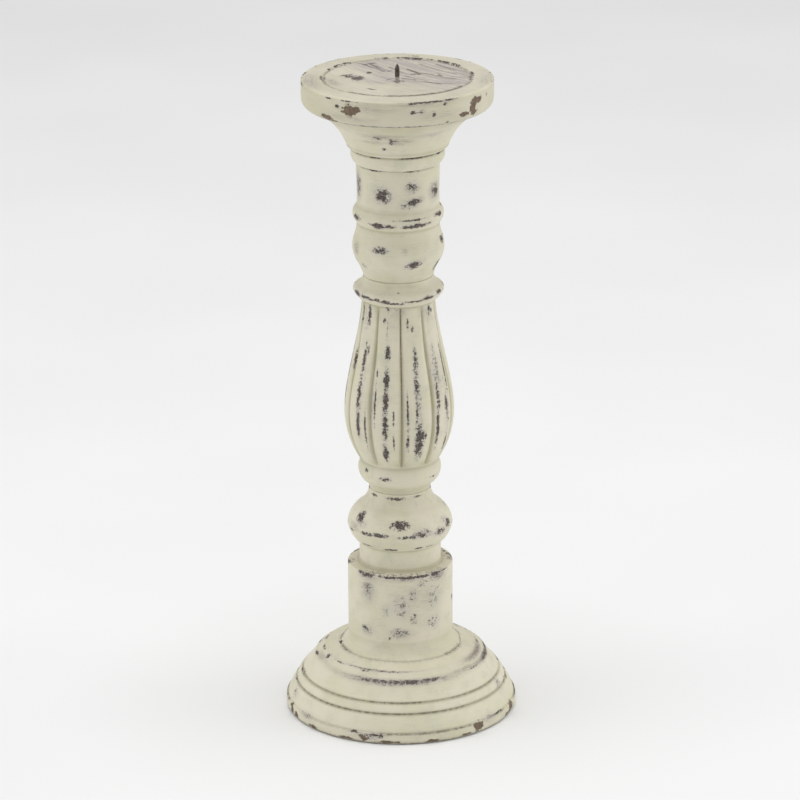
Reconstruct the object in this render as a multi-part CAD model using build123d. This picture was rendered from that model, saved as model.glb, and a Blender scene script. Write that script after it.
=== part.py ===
from build123d import *
from math import cos, radians, sin
import os

os.makedirs("parts", exist_ok=True)

# Turned and carved wooden candlestick with a steel pricket. Millimetres, +Z up, standing on z = 0
# with its axis on the origin. It is turned in five wooden pieces, doweled and glued end to end.

# Heights of the main lines of the outline, above the table
z_foot = 0.3            # wooden foot of the base, just clear of the table on its felt
z_foot_band = 6.2       # top of the plain band round the foot
z_lower_line = 15.7     # lower of the two scored lines on the base
z_upper_line = 20.8     # upper scored line
z_shoulder = 30.4       # shoulder where the base turns in towards its top
z_base_hollow = 33.7    # middle of the hollow on top of the base
z_base_top = 36.5       # where the column stands on the base
z_block = 45.5          # lower end of the straight block above its cove
z_block_top = 84.0      # ledge at the top of the block
z_bulb_foot = 97.4      # lower edge of the bulb
z_bulb = 106.6          # widest line of the bulb
z_bulb_slope = 117.0    # where the bulb's round side turns into its hollow neck
z_neck = 127.0          # joint between the lower column and the fluted vase
z_bead_foot = 132.0     # lower edge of the bead under the vase
z_vase_foot = 143.2     # where the ribs start, on top of the bead
z_vase_low_side = 152.2     # point on the vase's lower side
z_vase_wide = 170.0     # widest line of the vase
z_vase_mid_side, z_vase_high_side = 190.0, 210.0   # points on its upper side
z_vase_top = 234.6      # where the ribs end, under the ring
z_ring = 240.3          # widest line of the ring over the vase
z_waist = 247.5         # joint between the fluted vase and the upper column
z_bulge_foot, z_bulge = 255.0, 268.0   # lower end and widest line of the bulge
z_bulge_top = 276.8     # upper end of the bulge
z_band_low, z_band_high = 280.3, 284.6   # edges of the narrow band over the bulge
z_dish_joint = 310.7    # joint between the upper column and the dish
z_dish_step = 318.2     # line between the dish's collar and its cove
z_rim_low = 341.6       # lower edge of the rim
z_rim = 355.8           # outer edge of the dish's top face
z_seat = 355.7          # ring of the seat that the candle stands on
z_seat_hollow = 353.7   # middle of the seat, which is slightly hollow
z_tip = 363.2           # point of the pricket

# Radii of the same lines
r_base, r_foot = 63.2, 62.0
r_lower_line, r_upper_line, r_shoulder, r_base_hollow = 57.5, 54.2, 46.8, 42.3
r_pad, r_block, r_collar = 32.8, 28.7, 22.3
r_bulb_foot, r_bulb, r_bulb_slope, r_neck = 24.6, 28.7, 22.6, 16.9
r_bead_foot, r_vase_foot, r_vase_wide, r_vase_top = 20.2, 21.1, 29.65, 19.7
r_vase_low_side, r_vase_mid_side, r_vase_high_side = 26.1, 27.6, 23.4
r_ring, r_waist, r_bulge_foot, r_bulge = 24.55, 19.05, 22.0, 24.2
r_bulge_top, r_band, r_upper_neck = 22.2, 24.2, 22.1
r_dish_collar, r_cove, r_rim = 25.15, 27.4, 51.2
r_seat, r_seat_groove, r_seat_land = 38.5, 39.3, 40.1
r_seat_hollow, r_seat_middle = 34.0, 6.0   # edge of the hollow, and the flat around the pricket

# Carved ribs of the vase
rib_count = 10
first_groove = -87.2    # direction of one groove, in degrees from +X
groove_depth = 1.8      # at the widest line; shallower towards both ends
groove_floor_half, groove_floor_rise = 1.4, 1.2   # steep walls next to the floor of a groove
groove_mouth_half = 3.9                           # gentle facet from there to the crest

# Joinery
line_cut = 0.45         # depth and half width of a scored line
joint_cut = 0.4         # eased edge on both sides of a glued joint
pad_seat = 1.5          # depth that the column's pad is let into the base
tenon_r, tenon_length = 12.0, 15.0
dowel_r, dowel_length, dowel_end = 6.0, 40.0, 1.2
dowel_flutes, flute_r = 10, 0.6
socket_depth = dowel_length / 2 + 0.5

# Felt, coach screw and washer under the base
felt_r, felt_thickness = 56.0, 1.6
felt_recess_r, felt_recess_top = 56.6, 1.6
counterbore_r, counterbore_top = 11.0, 11.0
washer_r, washer_thickness = 9.0, 1.6
screw_r, screw_core_r, screw_pitch = 3.0, 2.15, 2.6
screw_length, screw_point, screw_plain = 58.0, 5.0, 20.0
head_across_flats, head_height = 10.0, 4.2

# Steel pricket, driven up through the dish from below
spike_r, shank_r = 1.25, 1.6
spike_taper = 2.6       # length of the ground point
nail_head_r, nail_head_height = 3.4, 1.4


def turned(*stations):
    """Revolves a closed outline about the axis. A station is (radius, height), or
    (radius, height, bow), where the stretch to it is an arc that bows that far to the right."""
    edges = []
    for start, end in zip(stations, stations[1:] + stations[:1]):
        a, b = Vector(start[0], 0, start[1]), Vector(end[0], 0, end[1])
        if len(end) == 2:
            edges.append(Edge.make_line(a, b))
        else:
            along = (b - a).normalized()
            middle = (a + b) / 2 + Vector(along.Z, 0, -along.X) * end[2]
            edges.append(Edge.make_three_point_arc(a, middle, b))
    return revolve(Face(Wire(edges)), Axis.Z)


def scored_line(radius, height):
    """Stations of a V-shaped line cut into the outline at this radius and height."""
    return (radius, height - line_cut), (radius - line_cut, height), (radius - 0.2, height + line_cut)


def socket(bottom, top, radius=dowel_r):
    return turned((0, bottom), (radius, bottom), (radius, top), (0, top))


def ring_of(count, first, shape):
    """Copies of a shape turned about the axis at even steps."""
    return [Rot(0, 0, first + i * 360 / count) * shape for i in range(count)]


def base_plinth():
    body = turned(
        (0, felt_recess_top),
        (felt_recess_r, felt_recess_top),
        (felt_recess_r, z_foot),
        (r_foot, z_foot),
        (r_base - 0.1, z_foot + 2.0, 0.4),
        (r_base, z_foot_band - 0.4),
        (r_base - 0.9, z_foot_band + 0.2),
        (r_lower_line + 0.3, z_lower_line - line_cut, 0.45),
        *scored_line(r_lower_line, z_lower_line),
        (r_upper_line + 0.2, z_upper_line - line_cut, 0.3),
        *scored_line(r_upper_line, z_upper_line),
        (r_shoulder + 0.2, z_shoulder - 0.5, -0.35),
        (r_shoulder - 0.9, z_shoulder + 0.5, 0.25),
        (r_base_hollow, z_base_hollow, -0.25),
        (r_pad, z_base_top - 0.1, -0.35),
        (r_pad, z_base_top - pad_seat),
        (0, z_base_top - pad_seat),
    )
    mortise_floor = z_base_top - pad_seat - tenon_length - 0.5
    body -= socket(mortise_floor, z_base_top, tenon_r)
    body -= socket(z_foot, counterbore_top, counterbore_r)
    return body - socket(z_foot, z_base_top, screw_r)


def lower_column():
    pad_bottom = z_base_top - pad_seat
    tenon_bottom = pad_bottom - tenon_length
    body = turned(
        (0, tenon_bottom),
        (tenon_r - 1, tenon_bottom),
        (tenon_r, tenon_bottom + 1),
        (tenon_r, pad_bottom),
        (r_pad, pad_bottom),
        (r_pad, z_base_top),
        (r_pad - 0.5, z_base_top + 0.5),
        (r_block, z_block, -1.5),
        (r_block, z_block_top - 0.7),
        (r_block - 0.7, z_block_top, 0.2),
        (r_collar + 0.9, z_block_top + 0.4),
        (r_collar, z_block_top + 1.6, -0.3),
        (r_collar, z_bulb_foot - 0.7),
        (r_bulb_foot - 0.5, z_bulb_foot - 0.3),
        (r_bulb_foot, z_bulb_foot + 0.3),
        (r_bulb, z_bulb, 0.75),
        (r_bulb_slope, z_bulb_slope, 1.25),
        (r_neck, z_neck - 1.2, -1.15),
        (r_neck, z_neck - joint_cut),
        (r_neck - joint_cut, z_neck),
        (0, z_neck),
    )
    body -= socket(z_neck - socket_depth, z_neck)
    screw_tip = counterbore_top - washer_thickness + screw_length
    pilot_end = screw_tip + 2
    pilot = turned((0, tenon_bottom), (screw_r, tenon_bottom), (screw_r, pilot_end), (0, pilot_end + 2))
    return body - pilot


def vase_side(depth, low, high):
    """The side of the vase, or with a depth the floor of a groove in it, from low to high."""
    stations = [
        (r_vase_foot - 2.0, z_vase_foot - 3.0, 0.45 * depth),
        (r_vase_foot, z_vase_foot, 0.55 * depth),
        (r_vase_low_side, z_vase_low_side, 0.9 * depth),
        (r_vase_wide, z_vase_wide, depth),
        (r_vase_mid_side, z_vase_mid_side, 0.95 * depth),
        (r_vase_high_side, z_vase_high_side, 0.85 * depth),
        (r_vase_top, z_vase_top, 0.75 * depth),
        (r_vase_top - 0.7, z_vase_top + 3.5, 0.75 * depth),
    ]
    return Spline([(r - cut, 0, z) for r, z, cut in stations[low:high]])


def vase_groove():
    """One V-shaped groove, with a narrow steep floor and a wide flat mouth."""
    floor = vase_side(groove_depth, 0, 8)
    section = Plane(origin=floor @ 0, x_dir=(0, 1, 0), z_dir=floor % 0) * Polygon(
        (0, 0),
        (groove_floor_half, -groove_floor_rise),
        (groove_mouth_half, -groove_depth - 0.1),
        (groove_mouth_half + 0.6, -3 * groove_depth),
        (-groove_mouth_half - 0.6, -3 * groove_depth),
        (-groove_mouth_half, -groove_depth - 0.1),
        (-groove_floor_half, -groove_floor_rise),
        align=None,
    )
    return sweep(section, path=floor)


def ribbed_body():
    side = vase_side(0, 1, 7)
    closing = Polyline((r_vase_top, 0, z_vase_top), (0, 0, z_vase_top), (0, 0, z_vase_foot),
                       (r_vase_foot, 0, z_vase_foot))
    body = revolve(Face(Wire(side.edges() + closing.edges())), Axis.Z)
    for groove in ring_of(rib_count, first_groove, vase_groove()):
        body -= groove
    return body


def fluted_vase():
    bead = turned(
        (0, z_neck),
        (r_neck - joint_cut, z_neck),
        (r_neck, z_neck + joint_cut),
        (r_neck, z_neck + 1.4),
        (r_bead_foot - 0.5, z_bead_foot - 0.5, -0.4),
        (r_bead_foot, z_bead_foot),
        (r_vase_foot - 0.1, z_vase_foot + 0.2, 1.95),
        (0, z_vase_foot + 0.2),
    )
    ring = turned(
        (0, z_vase_top - 0.2),
        (r_vase_top + 0.8, z_vase_top - 0.2),
        (r_ring - 0.5, z_ring - 1.9, 0.25),
        (r_ring - 1.3, z_ring + 1.7, 0.85),
        (r_waist + 0.3, z_waist - 1.5, -0.45),
        (r_waist, z_waist - joint_cut),
        (r_waist - joint_cut, z_waist),
        (0, z_waist),
    )
    body = bead + ribbed_body() + ring
    body -= socket(z_neck, z_neck + socket_depth)
    return body - socket(z_waist - socket_depth, z_waist)


def upper_column():
    body = turned(
        (0, z_waist),
        (r_waist - joint_cut, z_waist),
        (r_waist, z_waist + joint_cut),
        (r_bulge_foot, z_bulge_foot, -0.35),
        (r_bulge, z_bulge, 1.45),
        (r_bulge_top, z_bulge_top - 0.4, -0.25),
        (r_bulge_top, z_bulge_top),
        (r_bulge_top + 0.7, z_bulge_top + 0.8),
        (r_band, z_band_low),
        (r_band - 0.2, z_band_high - 0.2, 0.35),
        (r_bulge_top + 0.2, z_band_high + 2.2),
        (r_upper_neck, z_band_high + 4.6, -0.1),
        (r_upper_neck + 0.35, z_dish_joint - joint_cut, -0.1),
        (r_upper_neck, z_dish_joint),
        (0, z_dish_joint),
    )
    body -= socket(z_waist, z_waist + socket_depth)
    return body - socket(z_dish_joint - socket_depth, z_dish_joint)


def candle_dish():
    body = turned(
        (0, z_dish_joint),
        (r_dish_collar - 1.7, z_dish_joint),
        (r_dish_collar, z_dish_joint + 3.4, 0.25),
        (r_dish_collar, z_dish_step - 0.5),
        (r_dish_collar - 0.4, z_dish_step),
        (r_cove - 0.3, z_dish_step + 1.4, 0.2),
        (r_cove + 0.1, z_dish_step + 2.4, 0.15),
        (r_rim - 3.0, z_rim_low, -3.15),
        (r_rim - 2.4, z_rim_low),
        (r_rim - 0.3, z_rim_low + 2.6, 0.3),
        (r_rim - 0.1, z_rim - 1.3, 0.15),
        (r_rim - 1.4, z_rim, 0.5),
        (r_seat_land, z_seat + 0.5, 0.1),
        (r_seat_groove, z_seat - 0.8),
        (r_seat, z_seat),
        (r_seat_hollow, z_seat),
        (r_seat_middle, z_seat_hollow, -0.5),
        (0, z_seat_hollow),
    )
    socket_top = z_dish_joint + socket_depth
    body -= socket(z_dish_joint, socket_top)
    body -= socket(socket_top, socket_top + nail_head_height, nail_head_r)
    return body - socket(socket_top, z_seat_hollow, shank_r)


def dowel(joint_height):
    """Grooved hardwood dowel, centred on a joint."""
    low, high = joint_height - dowel_length / 2, joint_height + dowel_length / 2
    body = turned(
        (0, low),
        (dowel_r - dowel_end, low),
        (dowel_r, low + dowel_end),
        (dowel_r, high - dowel_end),
        (dowel_r - dowel_end, high),
        (0, high),
    )
    flute = Pos(dowel_r + flute_r / 2, 0, joint_height) * Cylinder(flute_r, dowel_length)
    for cut in ring_of(dowel_flutes, 0, flute):
        body -= cut
    return body


def pricket():
    bottom = z_dish_joint + socket_depth
    return turned(
        (0, bottom),
        (nail_head_r - 0.3, bottom),
        (nail_head_r, bottom + 0.3),
        (nail_head_r, bottom + nail_head_height),
        (shank_r, bottom + nail_head_height),
        (shank_r, z_seat_hollow),
        (spike_r, z_seat_hollow),
        (spike_r, z_tip - spike_taper),
        (spike_r * 0.55, z_tip - 0.9, 0.08),
        (0.15, z_tip),
        (0, z_tip),
    )


def screw_washer():
    seat = counterbore_top
    edge = 0.3
    return turned(
        (screw_r, seat - washer_thickness),
        (washer_r, seat - washer_thickness),
        (washer_r, seat - edge),
        (washer_r - edge, seat),
        (screw_r, seat),
    )


def base_screw():
    """Hexagon-headed coach screw: plain shank, then thread ridges, then a point."""
    under_head = counterbore_top - washer_thickness
    tip = under_head + screw_length
    point = tip - screw_point
    stations = [(0, under_head), (screw_r, under_head), (screw_r, under_head + screw_plain)]
    crest = under_head + screw_plain + screw_pitch
    while crest < point - screw_pitch / 2:
        stations += [(screw_core_r, crest - 0.45 * screw_pitch), (screw_core_r, crest - 0.2 * screw_pitch),
                     (screw_r, crest - 0.03 * screw_pitch), (screw_r, crest + 0.03 * screw_pitch)]
        crest += screw_pitch
    stations += [(screw_core_r, point), (0, tip)]
    half_corner = head_across_flats / 2 / cos(radians(30))
    corners = [(half_corner * cos(radians(a)), half_corner * sin(radians(a))) for a in range(0, 360, 60)]
    head = Pos(0, 0, under_head - head_height) * extrude(Polygon(*corners, align=None), head_height)
    crown = turned(
        (0, under_head - head_height),
        (head_across_flats / 2 - 0.2, under_head - head_height),
        (half_corner + 0.1, under_head - head_height + 1.0),
        (half_corner + 0.1, under_head),
        (0, under_head),
    )
    return turned(*stations) + (head & crown)


def felt_pad():
    edge = 0.4
    return turned(
        (0, 0),
        (felt_r - edge, 0),
        (felt_r, edge),
        (felt_r, felt_thickness),
        (0, felt_thickness),
    )


pieces = {
    "felt_pad": felt_pad(),
    "base_screw": base_screw(),
    "screw_washer": screw_washer(),
    "base_plinth": base_plinth(),
    "lower_column": lower_column(),
    "lower_dowel": dowel(z_neck),
    "fluted_vase": fluted_vase(),
    "middle_dowel": dowel(z_waist),
    "upper_column": upper_column(),
    "upper_dowel": dowel(z_dish_joint),
    "candle_dish": candle_dish(),
    "pricket": pricket(),
}

for name, piece in pieces.items():
    piece.label = name
    export_step(piece, f"parts/{name}.step")
    print(name, round(piece.volume), "mm3")
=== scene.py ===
import math
import random

import bmesh
import bpy
import numpy as np
from mathutils import Matrix, Vector, noise


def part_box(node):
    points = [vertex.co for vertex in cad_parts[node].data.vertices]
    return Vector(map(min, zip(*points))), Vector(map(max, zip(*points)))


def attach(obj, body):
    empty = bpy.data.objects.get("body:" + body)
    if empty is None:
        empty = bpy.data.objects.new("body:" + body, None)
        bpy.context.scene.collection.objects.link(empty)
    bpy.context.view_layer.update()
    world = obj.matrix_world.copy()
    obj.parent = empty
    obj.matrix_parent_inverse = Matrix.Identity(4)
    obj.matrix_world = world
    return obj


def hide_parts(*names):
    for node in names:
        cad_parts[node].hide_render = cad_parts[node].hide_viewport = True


# Looks of the turned and carved wooden candlestick: five wooden pieces in rubbed cream paint, a steel
# pricket and a felt foot. Each of these seven is made again from the outline of its CAD node, with a
# finer mesh. The dowels, the screw and the washer inside it stay as the CAD nodes themselves.
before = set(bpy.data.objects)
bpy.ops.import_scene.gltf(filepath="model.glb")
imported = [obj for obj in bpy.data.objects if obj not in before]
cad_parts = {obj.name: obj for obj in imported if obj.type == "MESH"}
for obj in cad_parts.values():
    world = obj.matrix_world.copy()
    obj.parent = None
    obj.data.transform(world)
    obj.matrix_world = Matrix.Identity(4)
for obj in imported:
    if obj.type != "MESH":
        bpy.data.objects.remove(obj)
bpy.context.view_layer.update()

MM = 0.001
WELD, ON_PLANE = 1e-6, 2e-6      # corners this close to each other, or to the cutting plane, in metres
SAME = 0.02                      # corners of an outline closer than this, in millimetres, are one
CLEAR = 0.5                      # margin when a radius picks part of an outline, in millimetres
NOTCH_TURN = math.radians(60)    # a corner that turns inwards by more than this is a notch
FULL_TURN = 0.9                  # a corner that turns by this many radians wears the most
FRONT = -math.pi / 2             # direction of the viewer's side, from +X
FRONT_SPREAD = math.radians(78)  # marks within this angle of the front are listed one by one
RIBS = 10
PITCH = 2 * math.pi / RIBS
GROOVE_AT = math.radians(2.8)    # one groove lies this far to the right of the front
# A groove's section in millimetres: half widths, and how far they lie above its floor
FLOOR_HALF, FLOOR_RISE = 1.4, 1.2
MOUTH_HALF, MOUTH_RISE = 3.9, 1.85
EDGE_HALF, EDGE_RISE = MOUTH_HALF + 0.4, 2.6
# How dark each groove's floor is painted, with dirt and painted shade, from the one nearest the front round
# to the right
GROOVE_DIRT_AND_SHADE = (1.0, 0.3, 0.6, 0.2, 0.8, 0.45, 0.9, 0.3, 0.7, 0.25)
BLOT_FALL, BLOT_POWER = 0.80, 2.4     # how a mark fades towards its rim
SCRATCH_HALF = 0.60              # half the width of a scratch on the seat, in millimetres
# Camera, fitted to the ellipses of the base, block, seat and rim in the photograph
EYE_AT = (0.0004, -2.300, 0.96806)
LENS, SENSOR = 202.4, 36.0
LOOK_DOWN, ROLL = math.radians(19.010), math.radians(-0.35)
AIM = Vector((0, 0, 0.18))            # the lamps point here, about half way up
FLOOR_REACH = 8.0
FRONT_LIGHT, SIDE_GAIN = 0.49, 0.70   # strength of the surrounding light, in front and added at the sides


# ---------------------------------------------------------------- outlines, in millimetres

def section(node, azimuth=0.0):
    """Outline of a CAD node on a half plane through its axis: (radius, height) corners, upwards outside."""
    solid = bmesh.new()
    solid.from_mesh(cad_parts[node].data)
    solid.transform(Matrix.Rotation(-azimuth, 4, "Z"))
    bmesh.ops.remove_doubles(solid, verts=solid.verts, dist=WELD)
    whole = solid.verts[:] + solid.edges[:] + solid.faces[:]
    cut = bmesh.ops.bisect_plane(solid, geom=whole, dist=ON_PLANE, plane_no=(0, 1, 0))["geom_cut"]
    solid.verts.index_update()
    near = {}
    for edge in cut:
        if isinstance(edge, bmesh.types.BMEdge) and min(v.co.x for v in edge.verts) > -ON_PLANE:
            a, b = edge.verts
            near.setdefault(a, []).append(b)
            near.setdefault(b, []).append(a)
    ends = [v for v, beside in near.items() if len(beside) == 1]
    here = min(ends or near, key=lambda v: v.co.z)
    seen, chain = set(), []
    while here is not None:
        seen.add(here)
        chain.append((max(here.co.x, 0.0) / MM, here.co.z / MM))
        here = next((v for v in near[here] if v not in seen), None)
    if not ends:
        chain.append(chain[0])
    solid.free()
    points = np.array(chain)
    after = np.roll(points, -1, axis=0)
    area = np.sum(points[:, 0] * after[:, 1] - after[:, 0] * points[:, 1])
    return points if area > 0 else points[::-1]


def refined(points, shown, step):
    """The outline with its shown stretches divided into steps, its corners kept."""
    out = [points[0]]
    for a, b in zip(points[:-1], points[1:]):
        middle = (a + b) / 2
        count = max(1, round(float(np.hypot(*(b - a))) / step)) if shown(*middle) else 1
        out += [a + (b - a) * i / count for i in range(1, count + 1)]
    kept = [out[0]]
    kept += [p for p in out[1:] if np.hypot(*(p - kept[-1])) > SAME]
    return np.array(kept)


def notches(node):
    """Sharp inward corners of a node's outline, from the bottom up: scored lines and sudden steps."""
    outline = section(node)
    steps = np.diff(outline, axis=0)
    turn = np.diff(np.unwrap(np.arctan2(steps[:, 1], steps[:, 0])))
    found = [point for point, bend in zip(outline[1:-1], turn) if bend < -NOTCH_TURN]
    return sorted(((float(r), float(z)) for r, z in found), key=lambda corner: corner[1])


def widest(node, low, high):
    """Height of the widest line between two shares of a node's height."""
    bottom, top = (corner.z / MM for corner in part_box(node))
    outline = section(node)
    share = (outline[:, 1] - bottom) / (top - bottom)
    inside = outline[(share > low) & (share < high)]
    return float(inside[np.argmax(inside[:, 0]), 1])


DOWEL_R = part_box("lower_dowel")[1].x / MM
PAD_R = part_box("lower_column")[1].x / MM
FELT_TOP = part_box("felt_pad")[1].z / MM
BASE_R, _, BASE_TOP = (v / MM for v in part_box("base_plinth")[1])
LOWER_LINE, UPPER_LINE = [z for r, z in notches("base_plinth") if r > PAD_R + 1 and z > FELT_TOP + 1]
FOOT_RING = BASE_R - 6.5         # the felt hides the base's underside inside this radius
SHOULDER = BASE_TOP - 6.0        # where the base turns in towards its top
FOOT_BAND = 6.0                  # top of the plain band round the foot
COLUMN_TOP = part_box("lower_column")[1].z / MM
BULB_FOOT = [z for r, z in notches("lower_column") if z > BASE_TOP][0]
LEDGE = max(z for r, z in section("lower_column") if r > PAD_R - 5 and z < BULB_FOOT)
BULB = widest("lower_column", 0.75, 0.90)
BEAD, BELLY, RING = (widest("fluted_vase", *part) for part in ((0.0, 0.15), (0.15, 0.80), (0.85, 1.0)))
RIBS_LOW, RIBS_HIGH = BEAD + 6.0, RING - 6.0    # ends of the carved ribs
BULGE, BAND = widest("upper_column", 0.15, 0.45), widest("upper_column", 0.45, 0.65)
NECK_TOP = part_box("upper_column")[1].z / MM
RIM_R, _, RIM_TOP = (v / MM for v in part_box("candle_dish")[1])
RIM_TOP -= 0.4                   # the land beside the seat's ring stands a little higher than the rim
(_, DISH_STEP), (SEAT_RING_R, _) = [corner for corner in notches("candle_dish") if corner[0] > DOWEL_R + 1]
SEAT = max(z for r, z in section("candle_dish") if r < SEAT_RING_R - CLEAR)
RIM_LOW = RIM_TOP - 14.2         # lower edge of the rim's side
HOLLOW = 2.0                     # depth of the seat's hollow, where the pricket stands


def smooth_step(x, low, high):
    t = np.clip((x - low) / (high - low), 0, 1)
    return t * t * (3 - 2 * t)


def turn_to_front(azimuth):
    """Angle from the front, positive to the viewer's right, within half a turn."""
    return (azimuth - FRONT + math.pi) % (2 * math.pi) - math.pi


# What a material reads at each point: paint rubbed through, chipped off, olive in creases with glazing and
# painted shade, worn thin, darkened with stain and painted shade, showing the plank's grain, speckled, or
# smeared with the brush
LAYERS = ("wear", "chip", "glaze_and_shade", "thin", "stain_and_shade", "plank", "speckle", "smear")


class Lathe:
    """A grid of points turned about the axis: rows follow the outline and columns go round."""

    def __init__(self, node, segments, step, shown=None, angles=None):
        shown = shown or (lambda r, z: r > DOWEL_R + CLEAR)
        self.outline = refined(section(node), shown, step)
        self.azimuth = np.linspace(0, 2 * math.pi, segments, endpoint=False) if angles is None else angles
        runs = np.hypot(*np.diff(self.outline, axis=0).T)
        self.along = np.concatenate([[0], np.cumsum(runs)])
        self.shown = np.array([float(shown(r, z)) for r, z in self.outline])
        tangent = np.gradient(self.outline, axis=0)
        tangent /= np.maximum(np.hypot(*tangent.T), 1e-9)[:, None]
        self.normal = np.column_stack([tangent[:, 1], -tangent[:, 0]])
        shape = (len(self.outline), len(self.azimuth))
        self.radius = np.broadcast_to(self.outline[:, :1], shape).copy()
        self.height = np.broadcast_to(self.outline[:, 1:], shape).copy()
        self.front = turn_to_front(self.azimuth)
        self.layers = {name: np.zeros(shape) for name in LAYERS}

    def edges(self, reach=0.9):
        """Two values a row: how sharply the outline turns outwards there, and how sharply inwards."""
        steps = np.diff(self.outline, axis=0)
        heading = np.unwrap(np.arctan2(steps[:, 1], steps[:, 0]))
        turn = np.concatenate([[0], np.diff(heading), [0]])
        out, into = np.zeros(len(turn)), np.zeros(len(turn))
        for i, s in enumerate(self.along):
            weight = np.exp(-((self.along - s) / reach) ** 2)
            out[i] = np.sum(np.clip(turn, 0, None) * weight)
            into[i] = np.sum(np.clip(-turn, 0, None) * weight)
        return np.clip(out / FULL_TURN, 0, 1) * self.shown, np.clip(into / FULL_TURN, 0, 1) * self.shown

    def round_noise(self, scale, rise, seed, contrast=0.9):
        """Noise from 0 to 1 over the grid. scale is features per turn, rise is features per millimetre."""
        x, y = np.cos(self.azimuth) * scale, np.sin(self.azimuth) * scale
        rows = [[noise.noise((a, b, s * rise + seed)) for a, b in zip(x, y)] for s in self.along]
        return np.clip(np.array(rows) * contrast + 0.5, 0, 1)

    def mark(self, layer, azimuth, height, wide, tall, strength=1.0, radius=None, lean=0.0):
        """An oval mark. Its azimuth is in degrees from the front; radius picks a place on a flat face."""
        outline = self.outline
        hidden, outermost = 100, -0.02   # keep off the hidden rows, and prefer the outer of two faces
        miss = np.abs(outline[:, 1] - height) + hidden * (1 - self.shown)
        miss = miss + (outermost * outline[:, 0] if radius is None else np.abs(outline[:, 0] - radius))
        row = int(np.argmin(miss))
        across = (self.front - math.radians(azimuth) + math.pi) % (2 * math.pi) - math.pi
        across = across * max(outline[row, 0], 3.0)
        up = self.along - self.along[row]
        x = across[None, :] - lean * up[:, None]
        reach = np.hypot(2 * x / wide, 2 * up[:, None] / tall)
        blot = np.exp(-BLOT_FALL * reach ** BLOT_POWER)
        self.layers[layer] = np.maximum(self.layers[layer], strength * blot * self.shown[:, None])

    def sink(self, depth):
        """Moves the surface in by depth, in millimetres, square to the outline."""
        self.radius -= depth * self.normal[:, :1] * self.shown[:, None]
        self.height -= depth * self.normal[:, 1:] * self.shown[:, None]

    def build(self, name, node, material):
        """The piece itself: a mesh whose layers are attributes, riding on its body in place of its node."""
        rows, columns = self.radius.shape
        x, y = self.radius * np.cos(self.azimuth), self.radius * np.sin(self.azimuth)
        points = np.stack([x, y, self.height], -1)
        ring = self.outline[:, 0] > 1e-4     # the other rows lie on the axis and have one point
        index = np.zeros((rows, columns), int)
        vertices, origin = [], []
        for i in range(rows):
            first = len(vertices)
            closes = i == rows - 1 and np.allclose(self.outline[0], self.outline[-1])
            if closes:
                index[i] = index[0]
            elif ring[i]:
                index[i] = first + np.arange(columns)
                vertices += points[i].tolist()
                origin += [(i, j) for j in range(columns)]
            else:
                index[i] = first
                vertices.append([0.0, 0.0, float(self.outline[i, 1])])
                origin.append((i, 0))
        faces = []
        for low, high in zip(index[:-1], index[1:]):
            for quad in zip(low, np.roll(low, -1), np.roll(high, -1), high):
                corners = list(dict.fromkeys(int(v) for v in quad))
                if len(corners) > 2:
                    faces.append(corners)
        mesh = bpy.data.meshes.new(name)
        mesh.from_pydata((np.array(vertices) * MM).tolist(), [], faces)
        mesh.shade_smooth()
        pick = tuple(np.array(origin).T)
        for layer, values in self.layers.items():
            mesh.attributes.new(layer, "FLOAT", "POINT").data.foreach_set(
                "value", np.clip(values[pick], 0, 1).astype(np.float32))
        middle = float(np.mean(self.outline[self.shown > 0, 0]))
        around = np.stack([middle * np.cos(self.azimuth[pick[1]]), middle * np.sin(self.azimuth[pick[1]]),
                           self.along[pick[0]]], -1)
        mesh.attributes.new("lathe", "FLOAT_VECTOR", "POINT").data.foreach_set(
            "vector", around.astype(np.float32).ravel())
        mesh.materials.append(material)
        piece = bpy.data.objects.new(name, mesh)
        bpy.context.scene.collection.objects.link(piece)
        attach(piece, "root")
        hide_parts(node)
        return piece


# ---------------------------------------------------------------- materials

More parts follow.
